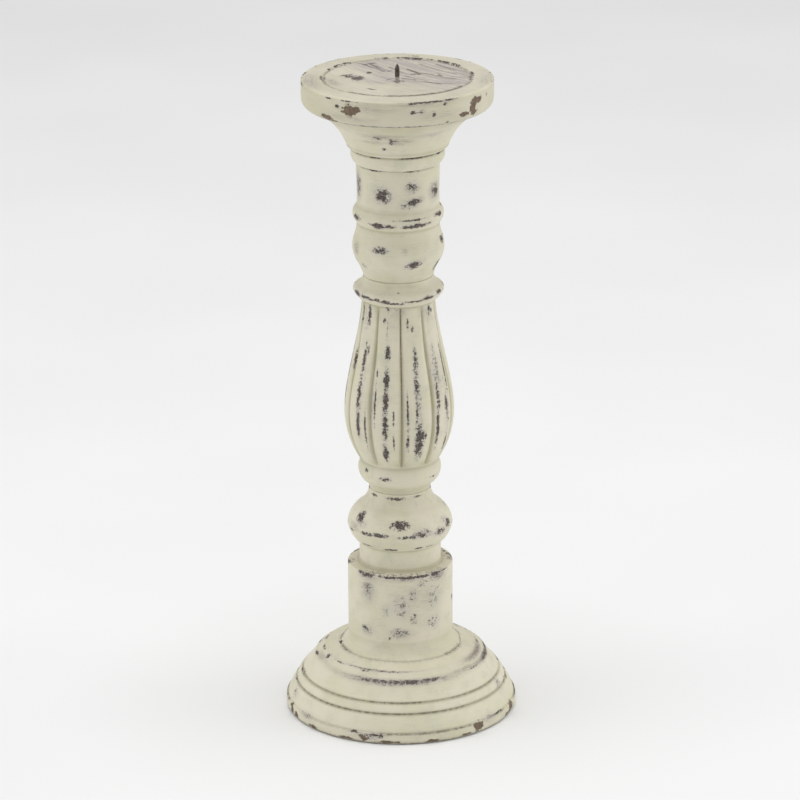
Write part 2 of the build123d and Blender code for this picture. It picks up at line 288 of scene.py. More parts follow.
class Graph:
    """Short names for the nodes that the materials use."""

    def __init__(self, name):
        self.material = bpy.data.materials.new(name)
        self.material.use_nodes = True
        self.nodes, self.links = self.material.node_tree.nodes, self.material.node_tree.links
        self.shader = self.nodes["Principled BSDF"]

    def put(self, socket, value):
        if isinstance(value, bpy.types.NodeSocket):
            self.links.new(value, socket)
        else:
            socket.default_value = value

    def value(self, layer):
        node = self.nodes.new("ShaderNodeAttribute")
        node.attribute_name = layer
        return node.outputs["Fac"]

    def vector(self, layer, stretch):
        node = self.nodes.new("ShaderNodeAttribute")
        node.attribute_name = layer
        return self.stretched(node.outputs["Vector"], stretch)

    def place(self, stretch):
        return self.stretched(self.nodes.new("ShaderNodeTexCoord").outputs["Object"], stretch)

    def stretched(self, vector, stretch):
        node = self.nodes.new("ShaderNodeMapping")
        self.put(node.inputs["Vector"], vector)
        node.inputs["Scale"].default_value = stretch
        return node.outputs["Vector"]

    def noise(self, vector, scale, detail=3.0, roughness=0.55):
        node = self.nodes.new("ShaderNodeTexNoise")
        self.put(node.inputs["Vector"], vector)
        node.inputs["Scale"].default_value = scale
        node.inputs["Detail"].default_value = detail
        node.inputs["Roughness"].default_value = roughness
        return node.outputs["Fac"]

    def math(self, operation, a, b=0.0, clamp=False):
        node = self.nodes.new("ShaderNodeMath")
        node.operation, node.use_clamp = operation, clamp
        self.put(node.inputs[0], a)
        self.put(node.inputs[1], b)
        return node.outputs[0]

    def band(self, value, low, high, start=0.0, end=1.0):
        node = self.nodes.new("ShaderNodeMapRange")
        node.interpolation_type = "SMOOTHSTEP"
        self.put(node.inputs["Value"], value)
        for socket, number in (("From Min", low), ("From Max", high), ("To Min", start), ("To Max", end)):
            node.inputs[socket].default_value = number
        return node.outputs["Result"]

    def mix(self, factor, a, b):
        node = self.nodes.new("ShaderNodeMix")
        node.data_type = "RGBA"
        self.put(node.inputs[0], factor)
        for socket, colour in ((node.inputs[6], a), (node.inputs[7], b)):
            self.put(socket, colour if isinstance(colour, bpy.types.NodeSocket) else (*colour, 1.0))
        return node.outputs[2]

    def bump(self, height, distance, strength=1.0, below=None):
        node = self.nodes.new("ShaderNodeBump")
        node.inputs["Strength"].default_value = strength
        node.inputs["Distance"].default_value = distance * MM
        self.put(node.inputs["Height"], height)
        if below is not None:
            self.put(node.inputs["Normal"], below)
        return node.outputs["Normal"]

    def finish(self, colour, roughness, normal):
        self.put(self.shader.inputs["Base Color"], colour)
        self.put(self.shader.inputs["Roughness"], roughness)
        self.put(self.shader.inputs["Normal"], normal)
        return self.material


def srgb(red, green, blue):
    """A colour given as it looks on screen, 0 to 255, as linear light."""
    parts = [v / 255 for v in (red, green, blue)]
    return tuple(v / 12.92 if v <= 0.04045 else ((v + 0.055) / 1.055) ** 2.4 for v in parts)


# Colours of the painted wood, from the paint down to the timber
CREAM = srgb(218, 212, 190)
CREAM_GREENER = srgb(210, 206, 178)
CREAM_PALE = srgb(224, 219, 200)
CREAM_DULL = srgb(198, 191, 168)
OLIVE_GLAZE_AND_SHADE = srgb(160, 153, 116)
GREY_WASH = srgb(188, 188, 180)
FURROW_GREY = srgb(154, 146, 149)
SCRATCH_DARK = srgb(88, 80, 78)
THIN_PAINT = srgb(178, 170, 168)
SPECKLE_GREY = srgb(182, 176, 176)
HALO_GREY = srgb(172, 166, 160)
SMEAR_GREY = srgb(124, 114, 114)
BROWN_STAIN_AND_SHADE = srgb(84, 74, 64)
WOOD_DARK = srgb(62, 54, 50)
WOOD_GREY = srgb(104, 93, 88)
CHIP_RIM = srgb(96, 84, 72)
TIMBER_DARK = srgb(98, 82, 68)
TIMBER_LIGHT = srgb(128, 110, 92)


def cream_paint(g, lathe, fine, brush):
    """Cream paint: cloudy, brushed on, olive in the creases from glazing and painted shade, and washed with
    grey here and there.
    """
    cloud = g.noise(lathe, 0.055, 3.0)
    patches = g.noise(lathe, 0.11, 4.0, 0.6)
    paint = g.mix(g.band(cloud, 0.35, 0.65), CREAM, CREAM_GREENER)
    paint = g.mix(g.band(brush, 0.35, 0.75, 0.0, 0.45), paint, CREAM_PALE)
    paint = g.mix(g.band(fine, 0.52, 0.75, 0.0, 0.30), paint, CREAM_DULL)
    # olive in creases, under the rim and on the top faces: glazing, and painted shade
    glaze_shade_mix = g.math("MULTIPLY", g.value("glaze_and_shade"), g.band(cloud, 0.2, 0.7, 0.6, 1.0), clamp=True)
    paint = g.mix(g.math("MULTIPLY", glaze_shade_mix, 0.66), paint, OLIVE_GLAZE_AND_SHADE)
    wash = g.math("MULTIPLY", g.band(patches, 0.50, 0.66), g.band(fine, 0.40, 0.60))
    return g.mix(g.math("MULTIPLY", wash, 0.40), paint, GREY_WASH)


def plank_grain(g, colour):
    """The seat shows the plank's straight grain: grey furrows, some of them scratched dark."""
    board = g.place((1000, 1000, 1000))
    grain_turn = math.radians(45)
    board.node.inputs["Rotation"].default_value = (0.0, 0.0, grain_turn)
    furrow = g.noise(g.stretched(board, (0.04, 0.85, 0.3)), 1.0, 5.0, 0.65)
    stretch = g.noise(g.stretched(board, (0.05, 0.12, 0.1)), 1.0, 2.0, 0.5)
    scratch = g.math("MULTIPLY", g.band(furrow, 0.60, 0.63), g.band(stretch, 0.46, 0.56))
    scratch = g.math("MULTIPLY", scratch, g.value("plank"))
    weathered = g.math("MULTIPLY", g.value("plank"), g.band(furrow, 0.42, 0.58))
    colour = g.mix(g.math("MULTIPLY", weathered, 0.60), colour, FURROW_GREY)
    return g.mix(g.math("MULTIPLY", scratch, 0.85), colour, SCRATCH_DARK)


def painted_wood():
    """Cream paint over dark wood, rubbed through, speckled, smeared and chipped."""
    g = Graph("painted_wood")
    lathe = g.vector("lathe", (1, 1, 1))
    brush = g.noise(g.vector("lathe", (0.10, 0.10, 1.6)), 1.0, 4.0, 0.6)
    fine = g.noise(lathe, 1.1, 6.0, 0.72)
    blots = g.noise(lathe, 0.42, 3.0, 0.6)
    grain = g.noise(g.vector("lathe", (2.2, 2.2, 0.32)), 1.0, 4.0, 0.7)
    dots = g.noise(lathe, 1.5, 3.0, 0.6)
    strokes = g.noise(g.vector("lathe", (0.28, 0.28, 2.4)), 1.0, 4.0, 0.65)
    wear, chip, speckle = g.value("wear"), g.value("chip"), g.value("speckle")

    ragged = g.math("MULTIPLY", g.math("SUBTRACT", fine, 0.5), 3.0)
    blotchy = g.math("MULTIPLY", g.math("SUBTRACT", blots, 0.5), 1.7)
    rubbed = g.math("ADD", wear, g.math("ADD", ragged, blotchy))
    halo = g.math("MULTIPLY", g.band(rubbed, 0.05, 0.50), g.band(wear, 0.02, 0.25))
    core = g.math("MULTIPLY", g.band(rubbed, 0.48, 0.58), g.band(wear, 0.10, 0.28))
    core = g.math("MULTIPLY", core, g.band(dots, 0.60, 0.66, 1.0, 0.0))
    spread = g.math("MULTIPLY", g.math("SUBTRACT", dots, 0.5), 1.8)
    spread = g.math("ADD", spread, g.math("MULTIPLY", g.math("SUBTRACT", blots, 0.5), 1.2))
    dotted = g.band(g.math("ADD", g.math("MULTIPLY", speckle, 0.55), spread), 0.42, 0.54)
    dotted = g.math("MULTIPLY", dotted, g.band(speckle, 0.10, 0.35))
    dotted = g.math("MULTIPLY", dotted, g.band(speckle, 0.20, 0.95, 0.45, 1.0))
    core = g.math("MAXIMUM", core, dotted)
    lifted = g.math("ADD", chip, g.math("ADD", blotchy, g.math("MULTIPLY", ragged, 0.5)))
    bare = g.math("MULTIPLY", g.band(lifted, 0.45, 0.52), g.band(chip, 0.10, 0.25))
    broken = g.math("MULTIPLY", g.band(lifted, 0.36, 0.44), g.band(chip, 0.10, 0.25))
    thin = g.math("MULTIPLY", g.value("thin"), g.band(grain, 0.40, 0.62, 0.35, 1.0))
    stain_and_shade = g.math("MULTIPLY", g.value("stain_and_shade"), g.band(fine, 0.36, 0.50))
    smear = g.math("MULTIPLY", g.value("smear"), g.band(strokes, 0.44, 0.58, 0.25, 1.0))

    colour = g.mix(g.math("MULTIPLY", thin, 0.80), cream_paint(g, lathe, fine, brush), THIN_PAINT)
    colour = plank_grain(g, colour)
    colour = g.mix(g.math("MULTIPLY", speckle, 0.50), colour, SPECKLE_GREY)
    colour = g.mix(g.math("MULTIPLY", halo, 0.60), colour, HALO_GREY)
    colour = g.mix(g.math("MULTIPLY", smear, 0.75), colour, SMEAR_GREY)
    # dark lines and marks: stain, scratches and dirt, and painted shade in the grooves, at the base's bottom
    # edge and in the seat's ring
    colour = g.mix(g.math("MULTIPLY", stain_and_shade, 0.92), colour, BROWN_STAIN_AND_SHADE)
    wood = g.mix(g.band(grain, 0.35, 0.65), WOOD_DARK, WOOD_GREY)
    colour = g.mix(core, colour, wood)
    colour = g.mix(g.math("MULTIPLY", broken, 0.6), colour, CHIP_RIM)
    timber = g.mix(g.band(grain, 0.35, 0.65), TIMBER_DARK, TIMBER_LIGHT)
    colour = g.mix(bare, colour, timber)

    exposed = g.math("MAXIMUM", core, bare)
    rough = g.band(exposed, 0.0, 1.0, 0.56, 0.78)
    rough = g.math("ADD", rough, g.band(brush, 0.3, 0.7, -0.05, 0.05))
    film = g.bump(g.math("SUBTRACT", 1.0, exposed), 0.12)
    return g.finish(colour, rough, g.bump(fine, 0.05, below=g.bump(brush, 0.05, below=film)))


def bare_wood():
    g = Graph("bare_wood")
    fibre = g.noise(g.place((900, 900, 40)), 1.0, 4.0, 0.6)
    pores = g.noise(g.place((2600, 2600, 200)), 1.0, 2.0)
    colour = g.mix(g.band(fibre, 0.3, 0.7), srgb(186, 146, 98), srgb(206, 172, 126))
    colour = g.mix(g.band(pores, 0.58, 0.7, 0.0, 0.6), colour, srgb(138, 100, 64))
    return g.finish(colour, g.band(fibre, 0.3, 0.7, 0.6, 0.75), g.bump(fibre, 0.1))


def metal(name, dark, light, low, high):
    """A metal with drawn streaks, spots and uneven gloss."""
    g = Graph(name)
    streak = g.noise(g.place((400, 400, 2600)), 1.0, 4.0, 0.6)
    spots = g.noise(g.place((1, 1, 1)), 1400, 3.0)
    colour = g.mix(g.band(streak, 0.3, 0.7), dark, light)
    colour = g.mix(g.band(spots, 0.56, 0.72, 0.0, 0.5), colour, tuple(0.6 * v for v in dark))
    g.shader.inputs["Metallic"].default_value = 1.0
    return g.finish(colour, g.band(spots, 0.3, 0.7, low, high), g.bump(streak, 0.02))


def spike_steel():
    """Dull steel whose lower half is splashed with thin paint and whose foot is dark."""
    g = Graph("spike_steel")
    spots = g.noise(g.vector("lathe", (1, 1, 1)), 1.6, 4.0, 0.6)
    streak = g.noise(g.vector("lathe", (3, 3, 0.5)), 1.0, 3.0)
    steel = g.mix(g.band(streak, 0.3, 0.7), srgb(62, 56, 52), srgb(104, 98, 92))
    cover = g.band(g.math("ADD", g.value("thin"), g.math("SUBTRACT", spots, 0.5)), 0.40, 0.60)
    colour = g.mix(cover, steel, g.mix(g.band(spots, 0.35, 0.65), srgb(150, 148, 142), srgb(184, 180, 170)))
    colour = g.mix(g.value("stain_and_shade"), colour, srgb(60, 54, 48))
    g.put(g.shader.inputs["Metallic"], g.band(cover, 0.0, 1.0, 0.85, 0.0))
    return g.finish(colour, g.band(cover, 0.0, 1.0, 0.36, 0.62), g.bump(spots, 0.04))


def felt():
    g = Graph("felt")
    fibre = g.noise(g.place((1, 1, 1)), 2600, 5.0, 0.7)
    felting = g.noise(g.place((1, 1, 1)), 160, 3.0)
    colour = g.mix(g.band(fibre, 0.3, 0.7), srgb(70, 46, 34), srgb(104, 74, 56))
    colour = g.mix(g.band(felting, 0.35, 0.7, 0.0, 0.4), colour, srgb(58, 38, 28))
    g.shader.inputs["Sheen Weight"].default_value = 0.35
    return g.finish(colour, g.band(fibre, 0.2, 0.8, 0.88, 0.98), g.bump(fibre, 0.25))


def floor_paint():
    g = Graph("floor_paint")
    mottle = g.noise(g.place((1, 1, 1)), 3.0, 2.0)
    colour = g.mix(g.band(mottle, 0.3, 0.7), (0.87, 0.87, 0.87), (0.90, 0.90, 0.90))
    return g.finish(colour, g.band(mottle, 0.3, 0.7, 0.85, 0.9), g.bump(mottle, 0.02))


# ---------------------------------------------------------------- wear that any piece can get

def rubbed_edges(lathe, seed, amount=1.0):
    """Broken worn lines on the outward corners, away from the front, and olive glazing with painted shade in
    the inward ones.
    """
    out, into = lathe.edges()
    away = 1 - smooth_step(FRONT_SPREAD - np.abs(lathe.front), -0.15, 0.15)
    breaks = lathe.round_noise(5.0, 0.05, seed)
    short = lathe.round_noise(17.0, 0.4, seed + 9)
    dashes = smooth_step(breaks * 0.6 + short * 0.4, 0.50, 0.68)
    lathe.layers["wear"] = np.maximum(lathe.layers["wear"], amount * out[:, None] * dashes * away[None, :])
    # painted shade with glazing in the inward corners
    lathe.layers["glaze_and_shade"] = np.maximum(lathe.layers["glaze_and_shade"], 0.8 * into[:, None])


def scattered(lathe, seed, count, layer="wear", size=(2.0, 5.0), strength=0.8):
    """Marks at random places on the far side."""
    pick = random.Random(seed)
    rows = np.flatnonzero(lathe.shown)
    for _ in range(count):
        row = rows[pick.randrange(len(rows))]
        side = pick.uniform(80, 280)
        wide, tall = pick.uniform(*size), pick.uniform(0.4, 1.0) * size[0]
        r, z = lathe.outline[row]
        lathe.mark(layer, side, z, wide, tall, strength * pick.uniform(0.7, 1.0), radius=r)


def hand_made(lathe, seed, chips_deep=0.35):
    """Slightly uneven turning, and chips that sink into the wood."""
    wander = lathe.round_noise(1.3, 0.04, seed)
    ripple = lathe.round_noise(0.5, 0.9, seed + 3)
    ragged = lathe.round_noise(40.0, 1.2, seed + 5)
    chip = smooth_step(lathe.layers["chip"] + 0.5 * (ragged - 0.5), 0.35, 0.6)
    rub = smooth_step(lathe.layers["wear"], 0.4, 0.9)
    lathe.sink(0.10 * wander + 0.04 * ripple + chips_deep * chip + 0.08 * rub)


def line_round(lathe, layer, height, strength, seed, half=0.45, near=None, radius=None, behind=1.0):
    """A line round the piece, broken by chance. near lists its stretches on the viewer's side, each as
    first and last degree right of the front and strength; behind is the strength of the rest. With a
    radius it lies on the top face."""
    degrees = np.degrees(lathe.front)
    share = behind * smooth_step(lathe.round_noise(2.2, 0.0, seed), 0.30, 0.62)
    if near is not None:
        listed = np.zeros(len(degrees))
        for first, last, much in near:
            listed = np.maximum(listed, much * smooth_step(degrees, first - 3, first + 3)
                                * (1 - smooth_step(degrees, last - 3, last + 3)))
        share = np.where(np.abs(lathe.front) < FRONT_SPREAD, listed[None, :], share)
    broken = 0.55 + 0.45 * smooth_step(lathe.round_noise(26.0, 0.0, seed + 1), 0.36, 0.56)
    if radius is None:
        far = lathe.outline[:, 1] - height
    else:
        far = np.hypot(lathe.outline[:, 0] - radius, np.minimum(lathe.outline[:, 1] - height, 0))
    close = np.exp(-(far / half) ** 2)[:, None] * lathe.shown[:, None]
    lathe.layers[layer] = np.maximum(lathe.layers[layer], strength * close * share * broken)


def marks(lathe, *rows):
    """Marks on the viewer's side: layer, degrees right of the front, height, width, tall, strength, and
    where needed the radius on a flat face and the lean. Many of their places were first worked out by a
    scratch program from the photograph and the fitted camera, then rounded and adjusted by hand."""
    for row in rows:
        lathe.mark(*row)


# ---------------------------------------------------------------- the pieces

def base(material):
    lathe = Lathe("base_plinth", 560, 0.5,
                  shown=lambda r, z: r > PAD_R - 0.1 and (z > FELT_TOP + 0.1 or r > FOOT_RING))
    rubbed_edges(lathe, 11)
    scattered(lathe, 12, 14)
    scattered(lathe, 14, 8, "speckle", (6.0, 14.0), 0.7)
    scattered(lathe, 13, 7, "chip", (2.5, 6.0), 0.95)
    low, edge = FOOT_BAND, FOOT_BAND / 2 - 1.5
    hollow = BASE_TOP - 3.0
    marks(lathe,
          ("chip", 42, low - 1.5, 7, 5.5, 1), ("chip", -72, 4, 4.5, 8, 1),
          ("chip", -66, 2.5, 5, 4, 0.9), ("chip", 73, low - 2, 6, 7, 1),
          ("chip", 67, edge, 6, 2.5, 0.9), ("chip", -50, edge, 7, 2.5, 0.9),
          ("chip", -28, edge, 9, 2, 0.85), ("chip", -6, edge, 12, 1.8, 0.8),
          ("chip", 16, edge, 8, 2, 0.85), ("chip", 34, edge, 6, 1.8, 0.8),
          ("chip", -19, low - 2.5, 6, 3.5, 0.85), ("wear", -24, low, 5, 2, 0.9),
          ("wear", -12, low - 0.5, 9, 2.6, 0.75), ("speckle", -17, low - 1.5, 14, 4.5, 0.9),
          ("speckle", 50, low, 12, 5, 0.7), ("speckle", -55, low, 14, 5, 0.7),
          ("wear", 58, low + 0.5, 10, 1.4, 0.85), ("smear", 76, hollow, 30, 4, 1),
          ("stain_and_shade", 76, hollow, 26, 2.8, 0.75), ("smear", 80, SHOULDER, 30, 3.4, 1),
          ("wear", 82, SHOULDER, 16, 3, 0.75), ("stain_and_shade", 82, SHOULDER, 26, 2.2, 0.7),
          ("smear", 50, SHOULDER + 0.5, 20, 3, 0.8), ("wear", 58, SHOULDER - 0.5, 8, 1.5, 0.7),
          ("wear", -20, SHOULDER, 22, 2.2, 0.56), ("wear", 2, SHOULDER - 0.2, 20, 2.4, 0.60),
          ("wear", 20, SHOULDER, 16, 2.4, 0.68), ("wear", -32, SHOULDER + 0.4, 8, 1.4, 0.66),
          ("smear", -5, SHOULDER - 0.3, 60, 3.6, 0.9), ("speckle", 0, SHOULDER - 0.5, 70, 4.5, 0.75),
          ("speckle", -15, hollow + 0.5, 52, 2.4, 0.9), ("smear", -22, hollow + 0.5, 26, 2, 0.8),
          ("wear", -28, hollow, 5, 1, 0.7), ("wear", -52, hollow + 0.3, 8, 1, 0.75),
          ("wear", -68, hollow, 3, 3, 0.95), ("smear", -74, SHOULDER + 1, 12, 4, 0.8),
          ("speckle", -75, 12, 10, 10, 0.6), ("speckle", 70, 17, 8, 12, 0.6))
    line_round(lathe, "stain_and_shade", LOWER_LINE, 1.0, 21, near=[(-85, -70, 0.5), (-70, 38, 1.0), (38, 85, 0.35)])
    line_round(lathe, "stain_and_shade", UPPER_LINE, 1.0, 22,
               near=[(-85, -20, 0.6), (-20, 14, 1.0), (14, 30, 0.4), (30, 85, 0.9)])
    line_round(lathe, "stain_and_shade", FOOT_BAND + 0.2, 1.0, 23, 0.5,
               near=[(-60, -25, 0.3), (-10, 38, 1.0), (50, 62, 0.7)])
    # painted shade, with wear, along the base's bottom edge where it meets the floor
    line_round(lathe, "stain_and_shade", 0.8, 0.9, 24, 0.9, near=[(-80, -30, 0.8), (-30, 45, 0.75), (45, 85, 0.6)])
    line_round(lathe, "stain_and_shade", BASE_TOP, 0.9, 25, 0.5,
               near=[(-90, -55, 1.0), (-55, 45, 0.45), (45, 90, 0.95)])
    hand_made(lathe, 15)
    return lathe.build("painted_base", "base_plinth", material)


def column(material):
    lathe = Lathe("lower_column", 320, 0.5, shown=lambda r, z: r > DOWEL_R + CLEAR and z > BASE_TOP)
    rubbed_edges(lathe, 31)
    scattered(lathe, 32, 12)
    scattered(lathe, 34, 12, "speckle", (5.0, 11.0), 0.8)
    edge = LEDGE - 0.4
    marks(lathe,
          # bulb
          ("wear", 0, BULB + 6.5, 9, 5, 1), ("wear", -56, BULB + 7.5, 6, 6.5, 0.9),
          ("speckle", -50, BULB + 5, 8, 6, 0.7), ("wear", -40, BULB, 7, 2, 0.95),
          ("wear", -22, BULB + 0.5, 9, 2.2, 1), ("speckle", 26, BULB + 1.5, 13, 5, 1),
          ("speckle", 50, BULB, 12, 5, 1), ("wear", 10, BULB, 12, 1.6, 0.85),
          ("wear", 68, BULB + 2.5, 5, 4, 0.9), ("speckle", 62, BULB + 5, 7, 6, 0.7),
          ("smear", -64, BULB + 2, 8, 3, 0.8), ("wear", -68, BULB - 1, 5, 2, 0.8),
          # foot of the bulb
          ("wear", -46, BULB_FOOT + 2, 9, 1.4, 0.75), ("wear", -13, BULB_FOOT + 1.5, 8, 1.6, 0.95),
          ("wear", 23, BULB_FOOT + 2, 5, 1.4, 0.9), ("wear", 40, BULB_FOOT + 2, 6, 1, 0.6),
          # neck of the column, under the vase
          ("wear", -6, COLUMN_TOP - 2, 11, 1.5, 0.80), ("wear", -55, COLUMN_TOP - 2, 5, 1.2, 0.9),
          ("wear", 35, COLUMN_TOP - 1.5, 5, 1.2, 0.85),
          # ledge of the block
          ("wear", -48, edge, 5, 2.4, 0.9), ("wear", -38, edge, 8, 2.6, 1),
          ("wear", -8, edge, 20, 1.6, 1), ("wear", 20, edge, 17, 1.8, 1), ("wear", 42, edge, 8, 2.2, 1),
          ("wear", 56, edge, 6, 1.4, 0.8), ("speckle", -40, edge - 1, 11, 4.5, 0.8),
          ("speckle", 44, edge - 1.5, 13, 6, 0.8), ("speckle", 0, edge - 1, 30, 3.5, 0.6),
          ("smear", -38, edge - 2, 12, 5, 0.7), ("smear", 45, edge - 2, 13, 5, 0.8),
          ("smear", 5, edge - 1.5, 14, 3, 0.7),
          # side of the block
          ("speckle", -38, LEDGE - 9, 9, 13, 0.75), ("speckle", 14, LEDGE - 11, 6, 9, 0.70),
          ("speckle", 38, LEDGE - 13, 12, 17, 0.65), ("speckle", 1, LEDGE - 18, 11, 13, 0.70),
          ("speckle", 38, LEDGE - 28, 11, 9, 0.75), ("speckle", -15, LEDGE - 20, 7, 8, 0.60),
          ("speckle", -1, LEDGE - 33, 13, 6, 0.75), ("speckle", -39, LEDGE - 33, 10, 6, 0.75),
          ("speckle", 15, LEDGE - 25, 6, 7, 0.65), ("speckle", 24, LEDGE - 3, 8, 8, 0.65),
          ("wear", -42, LEDGE - 32, 4.5, 1.6, 0.75), ("wear", 16, LEDGE - 23, 2, 2.5, 0.75),
          ("wear", -12, LEDGE - 36, 1.2, 1.6, 0.9), ("wear", 78, LEDGE - 20, 2.5, 3, 0.8),
          ("smear", 20, LEDGE - 14, 28, 20, 0.25), ("smear", -38, LEDGE - 10, 9, 12, 0.6),
          ("smear", 2, LEDGE - 33, 10, 5, 0.6))
    line_round(lathe, "stain_and_shade", BASE_TOP + 0.3, 0.8, 26, 0.4,
               near=[(-90, -55, 1.0), (-55, 45, 0.3), (45, 90, 0.9)])
    line_round(lathe, "wear", LEDGE - 0.3, 0.62, 36, 0.6, near=[(-52, 58, 0.8)])
    line_round(lathe, "wear", BULB, 0.62, 33, 0.6, near=[(-60, -14, 0.7), (0, 60, 0.85)])
    hand_made(lathe, 35)
    return lathe.build("painted_column", "lower_column", material)


def rib_angles(per_rib):
    """Azimuths round the vase, closer together at the floor of each groove."""
    u = np.arange(per_rib) / per_rib - 0.5
    spread = 0.35 * u + 0.65 * np.sign(u) * np.abs(2 * u) ** 1.6 / 2
    starts = FRONT + GROOVE_AT + PITCH * np.arange(RIBS)
    return np.concatenate([start + spread * PITCH for start in starts])


def streak(lathe, layer, azimuth, low, high, width, strength):
    """A worn streak down the vase, between two heights."""
    lathe.mark(layer, azimuth, (low + high) / 2, width, high - low, strength)


def worn_ribs(lathe):
    """Streaks on the viewer's side, and random ones behind. A listed streak has its degrees right of the
    front, its ends above the vase's widest line, its width and its strength. Many of the listed places
    came from the same scratch program as those of the marks."""
    rubbed = (
        (-15, 35, 42, 2.8, 0.9), (-15, 19, 30, 2.8, 0.9), (-15, 6, 19, 2.8, 0.9), (-15, -8, 6, 3, 0.9),
        (-16, -22, -11, 2.8, 0.95), (-17, 60, 64, 2, 0.8), (-17, 46, 55, 0.8, 0.7),
        (-22, 54, 57, 1.4, 0.9), (21, 25, 41, 2.6, 0.72), (20, 13, 25, 2.6, 0.72),
        (19, 0, 14, 1.2, 0.95), (22, -20, -1, 5, 0.95), (13, 51, 57, 1.6, 0.85), (20, 50, 53, 1.6, 0.7),
        (-49, 26, 41, 2.2, 0.95), (-44, 36, 41, 1.4, 0.8), (-50, 4, 25, 2.6, 0.85),
        (-49, -10, 4, 2.6, 0.95), (-39, -14, 6, 1, 0.85), (-50, 51, 63, 2.4, 0.95),
        (-68, 50, 62, 2, 0.9), (-72, 26, 36, 2, 0.9), (54, 57, 62, 1.8, 0.95), (60, 58, 60, 1.8, 0.9),
        (47, 6, 25, 2, 0.85), (45, -14, 6, 1.8, 0.95), (66, 15, 41, 1.3, 0.95), (60, 3, 12, 3, 0.95),
        (62, -20, -10, 2.2, 0.9), (-27, 25, 30, 1, 0.8), (-27, 0, 22, 1.1, 0.85), (-6, 0, 8, 1, 0.8),
        (-6, -14, -5, 1, 0.75), (9, -2, 17, 1.1, 0.8), (9, -16, -6, 1.6, 0.8), (29, -10, -4, 1.2, 0.85))
    for azimuth, low, high, width, strength in rubbed:
        streak(lathe, "wear", azimuth, BELLY + low, BELLY + high, width, strength)
    speckled = (
        (-15, -22, 42, 4, 0.55), (21, -20, 42, 4.5, 0.65), (50, 10, 44, 6.5, 0.75),
        (-47, -12, 42, 4.5, 0.55), (-30, -5, 25, 5, 0.45), (62, -16, 30, 4, 0.6),
        (9, -15, 16, 3.5, 0.45), (-58, 44, 64, 6, 0.45), (50, 52, 64, 7, 0.5), (-2, 58, 65, 12, 0.4))
    for azimuth, low, high, width, strength in speckled:
        streak(lathe, "speckle", azimuth, BELLY + low, BELLY + high, width, strength)
    pick = random.Random(44)
    for rib in range(RIBS):
        crest_at = math.degrees(GROOVE_AT) + 360 / RIBS * (rib + 0.5)
        if abs((crest_at + 180) % 360 - 180) < 70:
            continue
        height = RIBS_LOW + pick.uniform(5, 12)
        while height < RIBS_HIGH - 10:
            length = pick.uniform(6, 17)
            streak(lathe, "wear", crest_at + pick.uniform(-3, 3), height, height + length,
                   pick.uniform(1.4, 3.0), pick.uniform(0.75, 1.0))
            height += length + pick.uniform(-1, 8)
        streak(lathe, "speckle", crest_at, RIBS_LOW + 5, RIBS_HIGH - 10, 5.0, pick.uniform(0.5, 0.9))


